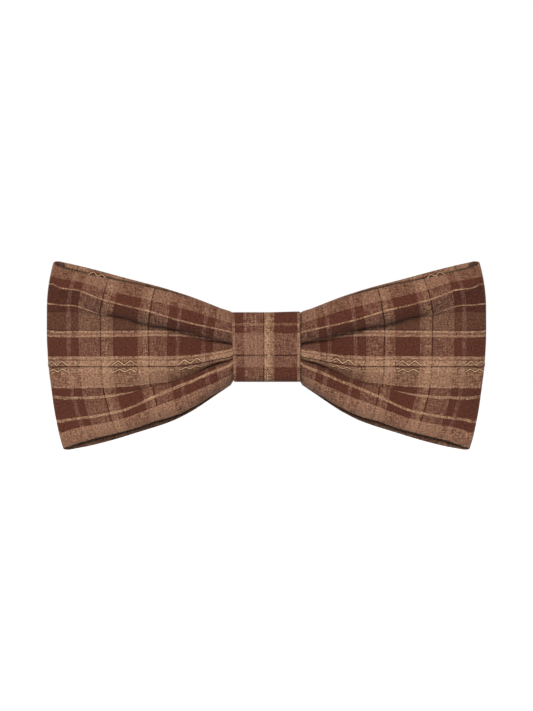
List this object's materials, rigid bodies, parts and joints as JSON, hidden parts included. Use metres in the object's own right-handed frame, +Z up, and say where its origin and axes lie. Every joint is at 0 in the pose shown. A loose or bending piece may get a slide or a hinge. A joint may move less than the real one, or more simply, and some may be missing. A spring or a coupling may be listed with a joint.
{
  "type": "bow tie",
  "caption": "Ready-tied clip-on bow tie: a looped plaid bow pinched by a wrapped knot, over a sprung two-jaw collar clip.",
  "frame": {"origin": "middle of the knot's flat back face, where the tie bears on the shirt collar", "axes": "+X along the bow to the viewer's right, +Y from the knot's back towards the wearer's neck (the bow faces -Y), +Z up as worn"},
  "size_m": [0.1198, 0.0194, 0.0521],
  "materials": {
    "plaid_cloth": "yarn-dyed tan and maroon plaid in a fine plain weave, matt with a soft sheen",
    "interlining": "felted off-white wool interlining",
    "thread": "twisted maroon polyester thread",
    "nickel_steel": "bright nickel plate over stamped steel",
    "spring_steel": "drawn spring wire"
  },
  "bodies": {
    "bow": {"bow_shell": "plaid_cloth", "bow_interlining": "interlining", "bow_end_stitches": "thread", "waist_binding": "thread", "knot_band": "plaid_cloth", "knot_interlining": "interlining", "knot_seam_thread": "thread", "clip_base": "nickel_steel", "hinge_pin_left": "nickel_steel", "hinge_pin_right": "nickel_steel", "jaw_spring_left": "spring_steel", "jaw_spring_right": "spring_steel"},
    "jaw_left": {"clip_jaw_left": "nickel_steel"},
    "jaw_right": {"clip_jaw_right": "nickel_steel"}
  },
  "joints": [
    {"name": "jaw_left_open", "type": "hinge", "parent": "bow", "child": "jaw_left", "pos_m": [-0.017, 0.0001, 0], "axis": [0, 0, -1], "range_deg": [0, 35], "stiffness_Nm_per_rad": 0.02, "springref_deg": -20.05, "deforming": ["jaw_spring_left"]},
    {"name": "jaw_right_open", "type": "hinge", "parent": "bow", "child": "jaw_right", "pos_m": [0.017, 0.0001, 0], "axis": [0, 0, 1], "range_deg": [0, 35], "stiffness_Nm_per_rad": 0.02, "springref_deg": -20.05, "deforming": ["jaw_spring_right"]}
  ]
}
